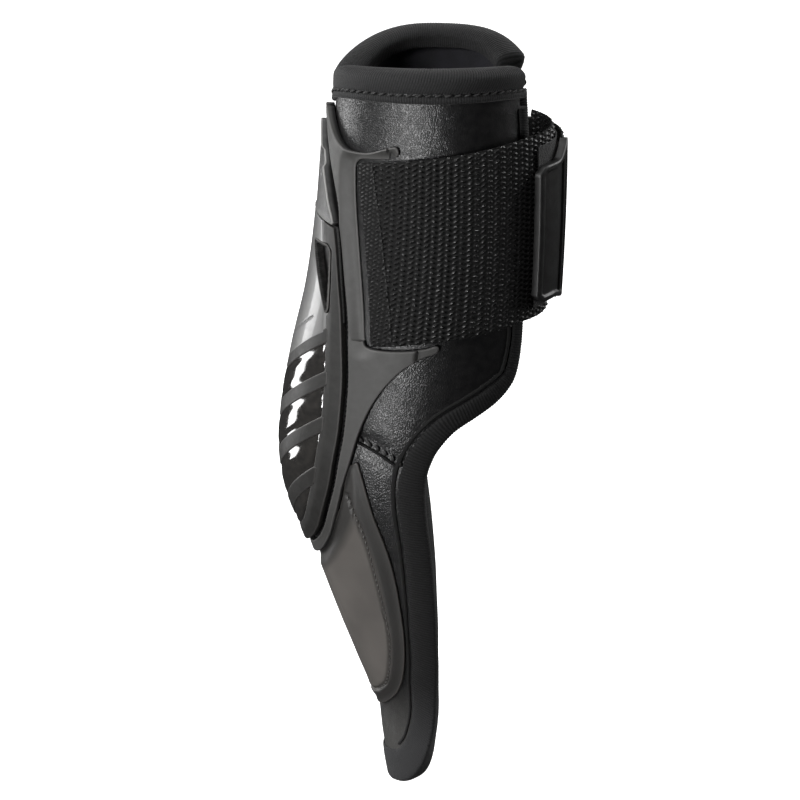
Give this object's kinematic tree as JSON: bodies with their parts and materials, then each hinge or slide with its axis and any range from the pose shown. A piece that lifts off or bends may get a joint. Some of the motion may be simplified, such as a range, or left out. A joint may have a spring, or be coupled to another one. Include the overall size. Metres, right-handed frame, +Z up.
{
  "type": "tendon boot",
  "caption": "Open-fronted tendon boot for a horse's lower leg: padded leather sleeve, moulded shell and frame, long pastern guard, webbing strap with a peel-open closure.",
  "frame": {"origin": "on the axis of the leg channel, level with the middle of the strap", "axes": "+Z up the leg, +X towards the open front of the leg, -X towards the shell at the back; the near side with the sewn webbing is -Y and the far side with the closure strap is +Y"},
  "size_m": [0.1035, 0.0766, 0.2749],
  "materials": {
    "leather": "semi-gloss pebble grain",
    "lining": "soft knitted neoprene face",
    "binding_knit": "ribbed elastic knit tape",
    "frame_tpu": "fine matte moulded",
    "shell_tpu": "satin moulded",
    "window_tpu": "polished smoke",
    "gel": "soft gel",
    "strike_rubber": "smooth matte",
    "webbing": "coarse woven polypropylene",
    "strap_web": "elastic woven",
    "hook_loop": "hook and loop pile",
    "tab_rubber": "satin rubber"
  },
  "bodies": {
    "sleeve": {"rear_padding": "leather", "rear_lining": "lining", "rear_top_binding": "binding_knit", "guard_binding": "binding_knit", "support_frame": "frame_tpu", "near_strap_ledge": "frame_tpu", "far_strap_ledge": "frame_tpu", "upper_plate": "shell_tpu", "shell_cage": "shell_tpu", "shell_window": "window_tpu", "near_vent_insert": "window_tpu", "far_vent_insert": "window_tpu", "impact_gel_pad": "gel", "pastern_strike_pad": "strike_rubber", "near_strap_sewn_end": "webbing", "closure_strap_sewn_end": "strap_web"},
    "near_flap": {"near_flap_padding": "leather", "near_flap_lining": "lining", "near_flap_top_binding": "binding_knit", "near_flap_edge_binding": "binding_knit"},
    "far_flap": {"far_flap_padding": "leather", "far_flap_lining": "lining", "far_flap_top_binding": "binding_knit", "far_flap_edge_binding": "binding_knit"},
    "near_strap": {"near_strap_side": "webbing"},
    "near_strap_tip": {"near_strap_front": "webbing", "loop_panel": "hook_loop"},
    "closure_strap": {"closure_strap_side": "strap_web"},
    "closure_corner": {"closure_strap_corner": "strap_web"},
    "closure_front": {"closure_strap_front": "strap_web", "hook_panel": "hook_loop"},
    "pull_tab": {"pull_tab": "tab_rubber", "pull_tab_hook_patch": "hook_loop"}
  },
  "joints": [
    {"name": "closure_strap_peel", "type": "hinge", "parent": "sleeve", "child": "closure_strap", "pos_m": [-0.01143, 0.03572, 0.00414], "axis": [-0.0001, -0.0514, 0.9987], "range_deg": [0, 60]},
    {"name": "pull_tab_flex", "type": "hinge", "parent": "closure_front", "child": "pull_tab", "pos_m": [0.04786, -0.00371, 0.01178], "axis": [0.0327, -0.0008, 0.9995], "range_deg": [0, 45]},
    {"name": "closure_corner_bend", "type": "hinge", "parent": "closure_strap", "child": "closure_corner", "pos_m": [0.02975, 0.03137, 0.01166], "axis": [0.0196, -0.0125, 0.9997], "range_deg": [0, 45]},
    {"name": "closure_front_bend", "type": "hinge", "parent": "closure_corner", "child": "closure_front", "pos_m": [0.04458, 0.01373, 0.01174], "axis": [0.0289, 0.0017, 0.9996], "range_deg": [0, 35]},
    {"name": "near_strap_swing", "type": "hinge", "parent": "sleeve", "child": "near_strap", "pos_m": [-0.01146, -0.03581, 0.00414], "axis": [0.0003, -0.0515, -0.9987], "range_deg": [0, 24]},
    {"name": "near_strap_tip_bend", "type": "hinge", "parent": "near_strap", "child": "near_strap_tip", "pos_m": [0.02751, -0.02879, 0.00909], "axis": [-0.0221, -0.0108, -0.9997], "range_deg": [0, 18]},
    {"name": "near_flap_flex", "type": "hinge", "parent": "sleeve", "child": "near_flap", "pos_m": [0.00803, -0.03155, 0.00623], "axis": [-0.0038, -0.015, -0.9999], "range_deg": [0, 12]},
    {"name": "far_flap_flex", "type": "hinge", "parent": "sleeve", "child": "far_flap", "pos_m": [0.00803, 0.03155, 0.00623], "axis": [0.0038, -0.015, 0.9999], "range_deg": [0, 12]}
  ],
  "couplings": [
    {"joint": "closure_corner_bend", "follows": "closure_strap_peel", "ratio": 0.75},
    {"joint": "closure_front_bend", "follows": "closure_strap_peel", "ratio": 0.58},
    {"joint": "near_strap_swing", "follows": "closure_strap_peel", "ratio": 0.4},
    {"joint": "near_strap_tip_bend", "follows": "closure_strap_peel", "ratio": 0.3},
    {"joint": "near_flap_flex", "follows": "closure_strap_peel", "ratio": 0.2},
    {"joint": "far_flap_flex", "follows": "closure_strap_peel", "ratio": 0.2}
  ]
}
